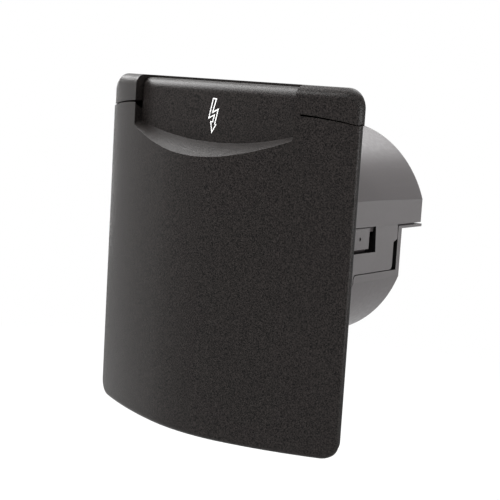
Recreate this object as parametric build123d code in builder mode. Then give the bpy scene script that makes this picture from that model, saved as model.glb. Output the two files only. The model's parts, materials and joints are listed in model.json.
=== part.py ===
from build123d import *
import os
from math import asin, cos, radians, sin, sqrt, tan

# Power inlet with a hinged, sprung lid, for the side of a caravan or boat.
# The origin is on the barrel axis, in the plane of the outer wall.
# The front looks along -Y, the barrel goes into the wall along +Y, and +Z is up.
# All sizes are in millimetres.

os.makedirs("parts", exist_ok=True)

# Face of the inlet, seen from the front
lid_half_width = 60.7
flange_inset = 1.2
face_top_z = 58.5
face_bottom_z = -74.85
bottom_corner_r = 6.5
top_corner_r = 7.2

# Bowed front: a middle arc that runs on into flatter side arcs
bow_front_y = -21.6
bow_middle_r = 80.0
bow_end_y = -3.5
bow_break_x = 18.0

# Walls and flange
lid_wall = 2.4
lid_edge_r = 2.0
rim_allowance = 6.0
lid_rim_gap = 0.4
gasket_thickness = 1.0
flange_thickness = 1.0
pad_thickness = 1.5
pad_half_width = 54.0
pad_top_z = 41.4
pad_bottom_margin = 7.0
pad_corner_r = 5.0
pad_ring_margin = 0.2
gasket_inset = 0.3
gasket_hole_gap = 0.9
ear_edge_r = 4.2

# Finger recess in the lid, with a convex floor and a sloping ledge
recess_half_width = 39.1
recess_floor_y = -11.4
recess_floor_sag = 1.9
ledge_middle_z = 35.15
ledge_end_rise = 4.5
ledge_slope = 0.49
recess_corner_r = 1.2

# Hinge of the lid between the ears
drum_r = 4.4
tab_top_drop = 0.85
tab_side_gap = 0.4
seam_gap = 0.5
seam_inner_z = 48.45
seam_middle_drop = 0.95
seam_outer_drop = 2.85
seam_steps = 6
ear_relief_margin = 0.15
pin_r = 1.5
pin_length = 95.0
pin_play = 0.05
pin_end_gap = 0.8
coil_wire_r = 0.45
coil_mean_r = 2.45
coil_turns = 3
coil_pitch = 3.7
coil_notch_r = 3.3
coil_notch_half_width = 8.0

# Barrel behind the wall
barrel_r = 44.3
barrel_step = 0.15
barrel_step_y = 41.4
barrel_taper = 0.4
flat_depth = 2.9
shell_wall = 2.0
rear_edge_r = 0.8
lip_thickness = 1.5
lip_top_z = 8.0
lip_play = 0.3
rear_rest_half_width = 8.0
spigot_length = 12.0
spigot_chamfer = 0.6
spigot_relief = 1.5
cover_rear_y = 73.95
cover_front_gap = 0.3
cover_edge_z = 5.7
body_rear_y = 59.5
body_edge_z = 5.0
shelf_thickness = 1.1
shelf_rear_y = 74.2

# Side straps of the cover, which snap over nubs on the body
strap_thickness = 1.7
strap_play = 0.3
strap_rear_y = 56.6
strap_waist_y = 54.1
strap_waist_top_z = -0.2
strap_waist_slant = 1.1
strap_bottom_z = -12.3
strap_foot_y = 27.2
strap_foot_z = -17.5
strap_front_y = 18.0
strap_corner_r = 1.6
pocket_gap = 0.35
window_front_y = 23.4
window_rear_y = 41.4
window_bottom_z = -4.4
nub_front_y = 24.0
nub_rear_y = 36.8
nub_bottom_z = -3.0
nub_drop = 0.2
nub_slot_height = 4.0
side_bar_height = 1.5
nub_edge_r = 0.4
nub_dimple_depth = 0.5
nub_dimple_r = 0.7
facet_high_z = -0.7
facet_low_y = 35.1
facet_low_z = -9.2
facet_angle = 3.0

# Round well for the supply connector
well_inset = 9.1
well_wall = 1.8
well_floor_y = 38.5
well_floor_thickness = 2.5
floor_opening_r = 27.3
opening_gap = 0.3
spigot_wall = 5.0
front_ring_thickness = 3.0

# Collar and contacts
collar_r = 22.3
collar_wall = 2.5
collar_front_y = -1.5
collar_base_thickness = 2.5
collar_rim_chamfer = 0.6
key_width = 6.0
key_height = 2.6
contact_circle_r = 8.75
earth_pin_r = 3.0
line_pin_r = 2.5
contact_tip_y = 5.0
contact_tip_chamfer = 1.0
contact_flange_width = 1.3
contact_flange_thickness = 2.0
contact_tail_r = 2.0
contact_tail_depth = 4.0
contact_boss_wall = 1.8
contact_boss_height = 3.0
contact_shoulder = 0.3
fit_gap = 0.05
carrier_r = 27.0
carrier_rear_r = 23.0
carrier_rear_y = 45.0
barrier_thickness = 1.5
barrier_inner_r = 4.5
barrier_length = 9.0
barrier_depth = 3.0

# Terminals
terminal_width = 8.0
terminal_height = 9.4
terminal_length = 8.5
wire_hole_r = 1.9
wire_hole_depth = 4.0
terminal_screw_r = 1.7
terminal_screw_head_r = 2.4
terminal_screw_head_height = 2.0
terminal_screw_from_rear = 2.6
slot_width = 0.8
slot_depth = 0.9

# Fixing screws
wall_hole_r = 2.2
wall_hole_half_spacing_x = 48.0
wall_hole_high_z = 32.0
wall_hole_low_z = -62.0
wall_head_r = 4.2
wall_head_depth = 0.9
body_screw_inset = 2.5
body_screw_r = 1.1
body_screw_head_r = 1.8
body_screw_head_height = 1.4
body_screw_depth = 8.0
hook_width = 6.0
hook_thickness = 1.8
hook_depth = 4.0
hook_play = 0.2
collar_screw_circle_r = 31.0
collar_screw_r = 1.25
collar_screw_head_r = 2.4
collar_screw_head_height = 1.6
collar_screw_bite = 4.0
shell_boss_r = 3.5
carrier_screw_circle_r = 18.5
carrier_screw_r = 1.1
carrier_screw_head_r = 2.0
carrier_screw_head_height = 1.4
carrier_screw_bite = 3.4

# Cable entry and clamp
cable_r = 4.2
cable_y = 66.0
grommet_neck_r = 5.0
grommet_flange_r = 5.7
grommet_flange_thickness = 1.2
grommet_nose_length = 9.0
grommet_nose_tip_r = 4.9
clamp_post_x = 9.0
clamp_post_y = 61.0
clamp_post_r = 3.0
clamp_post_height = 4.6
clamp_half_length = 12.5
clamp_width = 6.0
clamp_height = 5.2
clamp_screw_r = 1.3
clamp_screw_head_r = 2.4
clamp_screw_head_height = 1.6
clamp_screw_bite = 3.8

# Lid seal and retaining hook
seal_mean_r = 40.3
seal_width = 1.8
seal_thickness = 2.0
seal_gap = 0.3
cavity_top_z = 42.4
neck_pocket_margin = 2.4
neck_pocket_top_z = 47.5
lid_hook_z = 29.0
lid_hook_half_width = 3.0
lid_hook_tip_y = -6.0
lid_hook_thickness = 3.0
lid_hook_nose = 2.2

# Places that follow from the sizes above
flange_rear_y = -gasket_thickness
flange_front_y = flange_rear_y - flange_thickness
pad_front_y = flange_front_y - pad_thickness
lid_rear_y = flange_front_y - lid_rim_gap
tab_top_z = face_top_z - tab_top_drop
hinge_y = recess_floor_y + drum_r
hinge_z = tab_top_z - drum_r
ear_half_width = lid_half_width
flange_half_width = lid_half_width - flange_inset
flange_bottom_z = face_bottom_z + flange_inset
barrel_rear_r = barrel_r - barrel_taper
flat_half_width = barrel_r - flat_depth
body_screw_circle_r = barrel_r - body_screw_inset
well_r = barrel_r - well_inset
tab_half_width = recess_half_width - tab_side_gap
well_outer_r = well_r + well_wall
opening_r = well_outer_r + opening_gap
front_ring_rear_y = spigot_length + front_ring_thickness
cover_front_y = front_ring_rear_y + cover_front_gap
strap_inner_x = flat_half_width - strap_thickness
pocket_x = strap_inner_x - strap_play
well_back_y = well_floor_y + well_floor_thickness
collar_base_y = well_floor_y - collar_base_thickness
collar_base_r = well_r - opening_gap
earth_place = (0.0, -contact_circle_r)
live_place = (contact_circle_r * cos(radians(30)), contact_circle_r * sin(radians(30)))
neutral_place = (-live_place[0], live_place[1])
terminal_screw_y = carrier_rear_y + terminal_length - terminal_screw_from_rear
shelf_bottom_z = body_edge_z - shelf_thickness
clamp_bottom_z = body_edge_z + clamp_post_height
screw_head_seat_y = front_ring_rear_y - body_screw_head_height
face_height = face_top_z - face_bottom_z
pad_bottom_z = face_bottom_z + pad_bottom_margin
wall_hole_middle_z = (wall_hole_high_z + wall_hole_low_z) / 2
far = 300.0

bow_break_angle = asin(bow_break_x / bow_middle_r)
bow_middle_centre_y = bow_front_y + bow_middle_r
bow_break_y = bow_middle_centre_y - bow_middle_r * cos(bow_break_angle)
bow_run_x = lid_half_width - bow_break_x
bow_run_y = bow_end_y - bow_break_y
bow_side_r = (bow_run_x**2 + bow_run_y**2) / (
    2 * (bow_run_y * cos(bow_break_angle) - bow_run_x * sin(bow_break_angle))
)
bow_side_centre_x = bow_break_x - bow_side_r * sin(bow_break_angle)
bow_side_centre_y = bow_break_y + bow_side_r * cos(bow_break_angle)


def bow_y(x, setback=0.0):
    """y of the bowed front at x, or of the skin that lies setback behind it."""
    middle_r = bow_middle_r - setback
    side_r = bow_side_r - setback
    if abs(x) <= middle_r * sin(bow_break_angle):
        return bow_middle_centre_y - sqrt(middle_r**2 - x**2)
    return bow_side_centre_y - sqrt(side_r**2 - (abs(x) - bow_side_centre_x) ** 2)


def bowed_plan(half_width, rear_y, low_z, setback=0.0):
    """Plan outline with the bowed front, drawn at height low_z."""
    middle_end = (bow_middle_r - setback) * sin(bow_break_angle)
    half_way = (middle_end + half_width) / 2
    xs = (-half_width, -half_way, -middle_end, 0.0, middle_end, half_way, half_width)
    front = [(x, bow_y(x, setback)) for x in xs]
    with BuildSketch(Plane.XY.offset(low_z)) as plan:
        with BuildLine():
            ThreePointArc(front[0], front[1], front[2])
            ThreePointArc(front[2], front[3], front[4])
            ThreePointArc(front[4], front[5], front[6])
            Polyline(front[6], (half_width, rear_y), (-half_width, rear_y), front[0])
        make_face()
    return plan.sketch


def at_y(y):
    """Plane that faces the front, at depth y."""
    return Plane.XZ.offset(-y)


def from_behind(y):
    """Plane that faces the rear, at depth y, with its x axis towards -X."""
    return Plane(origin=(0, y, 0), x_dir=(-1, 0, 0), z_dir=(0, 1, 0))


def front_rim(edges, rear_y, plain_z):
    """Edges round the bowed front, without those at the rear, at plain_z and at the breaks."""
    chosen = ShapeList()
    for edge in edges:
        middle = edge.center()
        at_rear = middle.Y > rear_y - 0.01
        at_foot = abs(middle.Z - plain_z) < 0.01
        along_y = abs(edge.tangent_at(0.5).Y) > 0.99
        at_break = abs(abs(middle.X) - bow_break_x) < 0.01
        if not (at_rear or at_foot or along_y or at_break):
            chosen.append(edge)
    return chosen


def recess_front_z(x):
    """Height of the recess ledge at x, in the plane of the floor's middle."""
    ledge_r = (recess_half_width**2 + ledge_end_rise**2) / (2 * ledge_end_rise)
    return ledge_middle_z + ledge_r - sqrt(ledge_r**2 - x**2)


def ledge_outline(grow):
    """Front outline of the recess, wider and lower by grow, at the deepest part of the floor."""
    half = recess_half_width + grow
    start_y = recess_floor_y + recess_floor_sag + grow
    lift = ledge_slope * (recess_floor_sag + grow) - grow
    end_z = recess_front_z(half) + lift
    with BuildSketch(at_y(start_y)) as outline:
        with BuildLine():
            ThreePointArc((-half, end_z), (0, ledge_middle_z + lift), (half, end_z))
            Polyline((half, end_z), (half, face_top_z + far), (-half, face_top_z + far), (-half, end_z))
        make_face()
    return outline.sketch


def floor_plan(grow):
    """Plan of all that lies in front of the recess floor, moved back by grow."""
    half = recess_half_width + grow
    side_y = recess_floor_y + recess_floor_sag + grow
    with BuildSketch(Plane.XY.offset(face_bottom_z)) as plan:
        with BuildLine():
            ThreePointArc((-half, side_y), (0, recess_floor_y + grow), (half, side_y))
            Polyline((half, side_y), (half, -far), (-half, -far), (-half, side_y))
        make_face()
    return plan.sketch


def barrel_profile(front_y, rear_y, setback=0.0):
    """Half section of the barrel, to be turned about the Y axis."""
    stepped_r = barrel_r - barrel_step
    slope = (stepped_r - barrel_rear_r) / (cover_rear_y - barrel_step_y)
    with BuildSketch(Plane.XY) as profile:
        with BuildLine():
            Polyline(
                (0, front_y),
                (barrel_r - setback, front_y),
                (barrel_r - setback, barrel_step_y),
                (stepped_r - setback, barrel_step_y),
                (stepped_r - setback - slope * (rear_y - barrel_step_y), rear_y),
                (0, rear_y),
                close=True,
            )
        make_face()
    return profile.sketch


def seam_z(x):
    """Height of the joint between ear and lid at x."""
    run = (abs(x) - recess_half_width) / (ear_half_width - recess_half_width)
    bend = 2 * seam_outer_drop - 4 * seam_middle_drop
    return seam_inner_z - (seam_outer_drop - bend) * run - bend * run**2


def seam_reach(x):
    """Distance from the hinge axis to the joint's front edge at x."""
    return sqrt((bow_y(x) - hinge_y) ** 2 + (seam_z(x) - hinge_z) ** 2)


def barrel_sides(low_z, high_z):
    """Block between the two side flats of the barrel, stepped like the barrel."""
    stepped_x = flat_half_width - barrel_step
    with BuildSketch(Plane.XY.offset(low_z)) as plan:
        with BuildLine():
            Polyline(
                (0, 0),
                (flat_half_width, 0),
                (flat_half_width, barrel_step_y),
                (stepped_x, barrel_step_y),
                (stepped_x, far),
                (0, far),
                close=True,
            )
        make_face()
        mirror(about=Plane.YZ)
    return extrude(plan.sketch, amount=high_z - low_z, mode=Mode.INTERSECT)


def contact_profile(place, r):
    """Half section of a contact pin, to be turned about its own axis."""
    x = place[0]
    flange_y = well_floor_y + contact_flange_thickness
    tail_y = carrier_rear_y + contact_tail_depth
    with BuildSketch(Plane.XY.offset(place[1])) as profile:
        with BuildLine():
            Polyline(
                (x, contact_tip_y),
                (x + r - contact_tip_chamfer, contact_tip_y),
                (x + r, contact_tip_y + 2 * contact_tip_chamfer),
                (x + r, collar_base_y - contact_boss_height),
                (x + r + contact_shoulder, collar_base_y - contact_boss_height),
                (x + r + contact_shoulder, well_floor_y),
                (x + r + contact_flange_width, well_floor_y),
                (x + r + contact_flange_width, flange_y),
                (x + contact_tail_r, flange_y),
                (x + contact_tail_r, tail_y),
                (x, tail_y),
                close=True,
            )
        make_face()
    return profile.sketch


def clamp_block(place):
    """Terminal block with holes for the contact's tail, the wire and the screw."""
    rear_y = carrier_rear_y + terminal_length
    with Locations((place[0], rear_y - terminal_length / 2, place[1])):
        Box(terminal_width, terminal_length, terminal_height)
    with Locations((place[0], carrier_rear_y + contact_tail_depth / 2, place[1])):
        Cylinder(contact_tail_r + fit_gap, contact_tail_depth, rotation=(90, 0, 0), mode=Mode.SUBTRACT)
    with Locations((place[0], rear_y - wire_hole_depth / 2, place[1])):
        Cylinder(wire_hole_r, wire_hole_depth, rotation=(90, 0, 0), mode=Mode.SUBTRACT)
    with Locations((place[0], terminal_screw_y, place[1] + terminal_height / 4)):
        Cylinder(terminal_screw_r + fit_gap, terminal_height / 2, mode=Mode.SUBTRACT)


def slotted_screw(seat, out, shaft_r, shaft_length, head_r, head_height):
    """Screw whose head stands on seat and looks along out."""
    with Locations(Plane(origin=seat, z_dir=out)):
        with Locations((0, 0, head_height / 2)):
            Cylinder(head_r, head_height)
        with Locations((0, 0, -shaft_length / 2)):
            Cylinder(shaft_r, shaft_length)
        with Locations((0, 0, head_height - slot_depth / 2)):
            Box(2 * head_r, slot_width, slot_depth, mode=Mode.SUBTRACT)


def sweep_section(extra):
    """Half section of the space that the ears' lower edges reach round the hinge, grown by extra."""
    step = (seam_end_x - tab_half_width) / seam_steps
    xs = [tab_half_width + i * step for i in range(seam_steps + 1)]
    reach = [(x, hinge_y - seam_reach(x) - extra) for x in xs]
    with BuildSketch(Plane.XY.offset(hinge_z)) as section:
        with BuildLine():
            Spline(*reach)
            Polyline(reach[-1], (xs[-1], hinge_y), (xs[0], hinge_y), reach[0])
        make_face()
    return section.sketch


hinge_axis = Axis((0, hinge_y, hinge_z), (1, 0, 0))
ledge_direction = (0, -1, -ledge_slope)

# Space round the hinge that is cut out of the lid, and what is cut from the backs of the ears
ear_foot_z = seam_inner_z - seam_outer_drop - lid_wall
seam_start_x = recess_half_width - seam_gap
seam_end_x = ear_half_width + seam_gap
seam_mid_x = (seam_start_x + seam_end_x) / 2
with BuildPart() as seam_sweep:
    revolve(sweep_section(seam_gap), axis=hinge_axis)
    mirror(about=Plane.YZ)
with BuildPart() as ear_relief:
    with BuildSketch(at_y(flange_front_y)) as ear_underside:
        with Locations(((tab_half_width + seam_end_x) / 2, hinge_z - drum_r)):
            Rectangle(seam_end_x - tab_half_width, 2 * drum_r)
    extrude(amount=far)
    revolve(sweep_section(ear_relief_margin), axis=hinge_axis, mode=Mode.SUBTRACT)
    mirror(about=Plane.YZ)

# Mounting frame: flange, raised pad, two ears and the round spigot that centres it in the wall
with BuildPart() as mounting_frame:
    extrude(bowed_plan(ear_half_width, rim_allowance, ear_foot_z), amount=face_top_z - ear_foot_z)
    fillet(mounting_frame.edges().filter_by(Axis.Y).group_by(Axis.Z)[-1], radius=top_corner_r)
    fillet(front_rim(mounting_frame.edges(), rim_allowance, ear_foot_z), radius=ear_edge_r)
    with BuildSketch(from_behind(flange_rear_y)) as behind_ears:
        Rectangle(2 * far, 2 * far)
    extrude(amount=far, mode=Mode.SUBTRACT)
    with BuildSketch(at_y(flange_rear_y)) as between_ears:
        with Locations((0, face_top_z)):
            Rectangle(2 * recess_half_width, 2 * face_height)
    extrude(amount=far, mode=Mode.SUBTRACT)
    with BuildSketch(at_y(flange_rear_y)) as below_seam:
        with BuildLine():
            ThreePointArc(
                (seam_start_x, seam_z(seam_start_x)),
                (seam_mid_x, seam_z(seam_mid_x)),
                (seam_end_x, seam_z(seam_end_x)),
            )
            Polyline(
                (seam_end_x, seam_z(seam_end_x)),
                (seam_end_x, face_bottom_z),
                (seam_start_x, face_bottom_z),
                (seam_start_x, seam_z(seam_start_x)),
            )
        make_face()
        mirror(about=Plane.YZ)
    extrude(amount=far, mode=Mode.SUBTRACT)
    add(ear_relief.part, mode=Mode.SUBTRACT)
    with BuildSketch(at_y(flange_rear_y)) as flange:
        with Locations((0, (face_top_z + flange_bottom_z) / 2)):
            Rectangle(2 * flange_half_width, face_top_z - flange_bottom_z)
        fillet(flange.vertices().group_by(Axis.Y)[-1], radius=top_corner_r - flange_inset)
        fillet(flange.vertices().group_by(Axis.Y)[0], radius=bottom_corner_r - flange_inset)
    extrude(amount=flange_thickness)
    with BuildSketch(at_y(flange_front_y)) as pad:
        with Locations((0, (pad_top_z + pad_bottom_z) / 2)):
            RectangleRounded(2 * pad_half_width, pad_top_z - pad_bottom_z, pad_corner_r)
        Circle(seal_mean_r + seal_width / 2 + pad_ring_margin)
    extrude(amount=pad_thickness)
    with BuildSketch(from_behind(flange_rear_y)) as spigot_neck:
        Circle(barrel_r - spigot_relief)
    extrude(amount=gasket_thickness)
    with BuildSketch(from_behind(0)) as spigot:
        Circle(barrel_r)
    extrude(amount=spigot_length)
    spigot_end = mounting_frame.edges().filter_by(GeomType.CIRCLE).sort_by(Axis.Y)[-1]
    chamfer(spigot_end, length=spigot_chamfer)
    with BuildSketch(at_y(spigot_length)) as well_opening:
        Circle(opening_r)
    extrude(amount=far, mode=Mode.SUBTRACT)
    with BuildSketch(at_y(spigot_length)) as spigot_bore:
        Circle(barrel_r - spigot_wall)
    extrude(amount=spigot_length - flange_rear_y, mode=Mode.SUBTRACT)
    with Locations((0, hinge_y, hinge_z)):
        Cylinder(
            pin_r + pin_play,
            pin_length + 2 * pin_end_gap,
            rotation=(0, 90, 0),
            mode=Mode.SUBTRACT,
        )
    with BuildSketch(at_y(pad_front_y)) as wall_holes:
        with Locations((0, wall_hole_middle_z)):
            with GridLocations(2 * wall_hole_half_spacing_x, wall_hole_high_z - wall_hole_low_z, 2, 2):
                Circle(wall_hole_r)
    extrude(amount=pad_front_y - flange_rear_y, mode=Mode.SUBTRACT)
    with BuildSketch(at_y(pad_front_y)) as wall_screw_seats:
        with Locations((0, wall_hole_middle_z)):
            with GridLocations(2 * wall_hole_half_spacing_x, wall_hole_high_z - wall_hole_low_z, 2, 2):
                Circle(wall_head_r)
    extrude(amount=-wall_head_depth, mode=Mode.SUBTRACT)
    with BuildSketch(from_behind(spigot_length)) as body_screw_pilots:
        with PolarLocations(body_screw_circle_r, 2, start_angle=45, angular_range=90, endpoint=True):
            Circle(body_screw_r + pin_play)
    extrude(amount=-body_screw_depth - pin_play, mode=Mode.SUBTRACT)
    with BuildSketch(from_behind(spigot_length)) as hook_slots:
        with PolarLocations(body_screw_circle_r, 2, start_angle=225, angular_range=90, endpoint=True):
            Rectangle(hook_thickness + 2 * hook_play, hook_width + 2 * hook_play)
    extrude(amount=-hook_depth - hook_play, mode=Mode.SUBTRACT)
mounting_frame.part.label = "mounting_frame"
export_step(mounting_frame.part, "parts/mounting_frame.step")

# Wall gasket: flat rubber frame between the flange and the wall
with BuildPart() as wall_gasket:
    with BuildSketch(at_y(0)) as gasket_outline:
        with Locations((0, (face_top_z - gasket_inset + flange_bottom_z) / 2)):
            Rectangle(2 * flange_half_width, face_top_z - gasket_inset - flange_bottom_z)
        fillet(gasket_outline.vertices().group_by(Axis.Y)[-1], radius=top_corner_r - flange_inset)
        fillet(gasket_outline.vertices().group_by(Axis.Y)[0], radius=bottom_corner_r - flange_inset)
        Circle(barrel_r + gasket_hole_gap, mode=Mode.SUBTRACT)
        with Locations((0, wall_hole_middle_z)):
            with GridLocations(2 * wall_hole_half_spacing_x, wall_hole_high_z - wall_hole_low_z, 2, 2):
                Circle(wall_hole_r + gasket_inset, mode=Mode.SUBTRACT)
    extrude(amount=gasket_thickness)
wall_gasket.part.label = "wall_gasket"
export_step(wall_gasket.part, "parts/wall_gasket.step")

# Recess in the lid, and the same shape one wall further in
with BuildPart() as recess_cut:
    extrude(ledge_outline(0), amount=far, dir=ledge_direction)
    low_corners = recess_cut.edges().filter_by(Axis((0, 0, 0), ledge_direction)).group_by(Axis.Z)[0]
    fillet(low_corners, radius=recess_corner_r)
    extrude(floor_plan(0), amount=far, mode=Mode.INTERSECT)
with BuildPart() as recess_backing:
    extrude(ledge_outline(lid_wall), amount=far, dir=ledge_direction)
    extrude(floor_plan(lid_wall), amount=far, mode=Mode.INTERSECT)

# Hollow of the lid: everything behind its skin, without the recess
cavity_height = cavity_top_z - face_bottom_z - lid_wall
neck_half_width = recess_half_width - neck_pocket_margin
neck_front_y = recess_floor_y + recess_floor_sag + lid_wall
with BuildPart() as lid_cavity:
    cavity_plan = bowed_plan(lid_half_width - lid_wall, gasket_thickness, face_bottom_z + lid_wall, lid_wall)
    extrude(cavity_plan, amount=cavity_height)
    fillet(lid_cavity.edges().filter_by(Axis.Y).group_by(Axis.Z)[0], radius=bottom_corner_r - lid_wall)
    add(recess_backing.part, mode=Mode.SUBTRACT)
    with BuildSketch(Plane.XY.offset(cavity_top_z)) as neck_pocket:
        with Locations((0, (neck_front_y + gasket_thickness) / 2)):
            Rectangle(2 * neck_half_width, gasket_thickness - neck_front_y)
    extrude(amount=neck_pocket_top_z - cavity_top_z)

# Ribs inside the lid: the ring that carries the seal and the hook that holds the connector
seal_front_y = pad_front_y - seal_gap - seal_thickness
with BuildPart() as lid_ribs:
    with BuildSketch(at_y(seal_front_y)) as seal_ring:
        Circle(seal_mean_r + seal_width / 2)
        Circle(seal_mean_r - seal_width / 2, mode=Mode.SUBTRACT)
    extrude(amount=-bow_front_y)
    with BuildSketch(Plane.YZ) as hook_section:
        with BuildLine():
            Polyline(
                (bow_front_y, lid_hook_z + lid_hook_thickness),
                (lid_hook_tip_y, lid_hook_z + lid_hook_thickness),
                (lid_hook_tip_y, lid_hook_z - lid_hook_nose),
                (lid_hook_tip_y - 2 * lid_hook_nose, lid_hook_z),
                (bow_front_y, lid_hook_z),
                close=True,
            )
        make_face()
    extrude(amount=lid_hook_half_width, both=True)
    add(lid_cavity.part, mode=Mode.INTERSECT)

# Space behind the tab, so that its back is a drum round the hinge axis
with BuildPart() as tab_back_cut:
    with BuildSketch(Plane.YZ) as behind_drum:
        with Locations((hinge_y + far / 2, hinge_z + (far - drum_r) / 2)):
            Rectangle(far, far + drum_r)
        with Locations((hinge_y, hinge_z)):
            Circle(drum_r, mode=Mode.SUBTRACT)
    extrude(amount=recess_half_width, both=True)

# Lid: one bowed shell with recess, hinge tab, seal ring and hook
with BuildPart() as lid:
    extrude(bowed_plan(lid_half_width, rim_allowance, face_bottom_z), amount=tab_top_z - face_bottom_z)
    fillet(lid.edges().filter_by(Axis.Y).group_by(Axis.Z)[0], radius=bottom_corner_r)
    fillet(front_rim(lid.edges(), rim_allowance, tab_top_z), radius=lid_edge_r)
    with BuildSketch(from_behind(lid_rear_y)) as behind_lid:
        Rectangle(2 * far, 2 * far)
    extrude(amount=far, mode=Mode.SUBTRACT)
    with BuildSketch(at_y(0)) as ear_space:
        with Locations((tab_half_width + far / 2, hinge_z - pin_r + far / 2)):
            Rectangle(far, far)
        mirror(about=Plane.YZ)
    extrude(amount=far, mode=Mode.SUBTRACT)
    add(seam_sweep.part, mode=Mode.SUBTRACT)
    add(recess_cut.part, mode=Mode.SUBTRACT)
    tab_front_edge = lid.edges().group_by(Axis.Z)[-1].sort_by(Axis.Y)[0]
    fillet(tab_front_edge, radius=drum_r)
    add(tab_back_cut.part, mode=Mode.SUBTRACT)
    add(lid_cavity.part, mode=Mode.SUBTRACT)
    add(lid_ribs.part)
    with Locations((0, hinge_y, hinge_z)):
        Cylinder(pin_r + pin_play, 2 * lid_half_width, rotation=(0, 90, 0), mode=Mode.SUBTRACT)
        Cylinder(coil_notch_r, 2 * coil_notch_half_width, rotation=(0, 90, 0), mode=Mode.SUBTRACT)
    with BuildSketch(at_y(0)) as coil_opening:
        with Locations((0, hinge_z - coil_notch_r / 2)):
            Rectangle(2 * coil_notch_half_width, coil_notch_r)
    extrude(amount=-hinge_y, mode=Mode.SUBTRACT)
lid.part.label = "lid"
export_step(lid.part, "parts/lid.step")

# Lid seal: rubber ring glued to the lid's ring, which meets the frame's pad
with BuildPart() as lid_seal:
    with BuildSketch(at_y(seal_front_y + seal_thickness)) as seal_section:
        Circle(seal_mean_r + seal_width / 2)
        Circle(seal_mean_r - seal_width / 2, mode=Mode.SUBTRACT)
    extrude(amount=seal_thickness)
lid_seal.part.label = "lid_seal"
export_step(lid_seal.part, "parts/lid_seal.step")

# Hinge pin: plain steel pin through the ears and the tab
with BuildPart() as hinge_pin:
    with Locations((0, hinge_y, hinge_z)):
        Cylinder(pin_r, pin_length, rotation=(0, 90, 0))
    chamfer(hinge_pin.edges().filter_by(GeomType.CIRCLE), length=pin_r / 5)
hinge_pin.part.label = "hinge_pin"
export_step(hinge_pin.part, "parts/hinge_pin.step")

# Torsion spring round the hinge pin, in the notch of the tab
coil_height = coil_turns * coil_pitch
with BuildPart() as lid_spring:
    with BuildLine() as coil_path:
        Helix(
            pitch=coil_pitch,
            height=coil_height,
            radius=coil_mean_r,
            center=(-coil_height / 2, hinge_y, hinge_z),
            direction=(1, 0, 0),
        )
    with BuildSketch(coil_path.line ^ 0):
        Circle(coil_wire_r)
    sweep(is_frenet=True)
lid_spring.part.label = "lid_spring"
export_step(lid_spring.part, "parts/lid_spring.step")

# Strap of the cover and the pocket in the body that it lies in, for the +X side
with BuildPart() as strap:
    with BuildSketch(Plane.YZ.offset(strap_inner_x)) as strap_outline:
        with BuildLine():
            Polyline(
                (strap_front_y, lip_top_z),
                (strap_rear_y, lip_top_z),
                (strap_rear_y, strap_waist_top_z),
                (strap_waist_y, strap_waist_top_z - strap_waist_slant),
                (strap_waist_y, strap_bottom_z),
                (strap_foot_y, strap_bottom_z),
                (strap_foot_y, strap_foot_z),
                (strap_front_y, strap_foot_z),
                close=True,
            )
        make_face()
        fillet(strap_outline.vertices().sort_by(Axis.Y)[0:4], radius=strap_corner_r)
    extrude(amount=strap_thickness)
    with BuildSketch(Plane.YZ.offset(strap_inner_x)) as window:
        with Locations(
            (
                (window_front_y + window_rear_y) / 2,
                (window_bottom_z + cover_edge_z) / 2,
            )
        ):
            Rectangle(window_rear_y - window_front_y, cover_edge_z - window_bottom_z)
    extrude(amount=strap_thickness, mode=Mode.SUBTRACT)
    facet_line = (0, facet_low_y - strap_rear_y, facet_low_z - facet_high_z)
    facet_plane = Plane(
        origin=(flat_half_width, strap_rear_y, facet_high_z),
        x_dir=(1, 0, 0),
        z_dir=facet_line,
    )
    with BuildSketch(facet_plane) as facet:
        with BuildLine():
            Polyline(
                (0, 0),
                (far, 0),
                (far, far),
                (-far * tan(radians(facet_angle)), far),
                close=True,
            )
        make_face()
    extrude(amount=far, both=True, mode=Mode.SUBTRACT)
pocket_front_y = strap_front_y - pocket_gap
with BuildPart() as strap_pocket:
    with BuildSketch(Plane.YZ.offset(pocket_x)) as pocket_outline:
        with BuildLine():
            Polyline(
                (pocket_front_y, lip_top_z),
                (strap_rear_y + pocket_gap, lip_top_z),
                (strap_rear_y + pocket_gap, strap_bottom_z - pocket_gap),
                (strap_foot_y + pocket_gap, strap_bottom_z - pocket_gap),
                (strap_foot_y + pocket_gap, strap_foot_z - pocket_gap),
                (pocket_front_y, strap_foot_z - pocket_gap),
                close=True,
            )
        make_face()
        fillet(pocket_outline.vertices().sort_by(Axis.Y)[0:4], radius=strap_corner_r)
    extrude(amount=far)
    mirror(about=Plane.YZ)

# Snap nub inside the strap's window, for the +X side
with BuildPart() as nub:
    nub_x = flat_half_width - nub_drop
    nub_top_z = cover_edge_z - nub_drop
    nub_middle_y = (nub_front_y + nub_rear_y) / 2
    nub_middle_z = (nub_top_z + nub_bottom_z) / 2
    with BuildSketch(Plane.YZ.offset(pocket_x - lip_play)) as nub_section:
        with Locations((nub_middle_y, nub_middle_z)):
            Rectangle(nub_rear_y - nub_front_y, nub_top_z - nub_bottom_z)
    extrude(amount=nub_x - pocket_x + lip_play)
    fillet(nub.faces().sort_by(Axis.X)[-1].edges(), radius=nub_edge_r)
    with BuildSketch(Plane.YZ.offset(nub_x)) as dimple:
        with Locations((nub_middle_y, nub_middle_z)):
            Circle(nub_dimple_r)
    extrude(amount=-nub_dimple_depth, mode=Mode.SUBTRACT)

# Space inside the lower shell, between its rear wall and the front ring
inner_half_width = pocket_x - shell_wall
with BuildPart() as body_hollow:
    revolve(barrel_profile(front_ring_rear_y, body_rear_y - shell_wall, shell_wall), axis=Axis.Y)
    with BuildSketch(from_behind(0)) as between_pads:
        Rectangle(2 * inner_half_width, 2 * barrel_r)
    extrude(amount=far, mode=Mode.INTERSECT)

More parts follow.
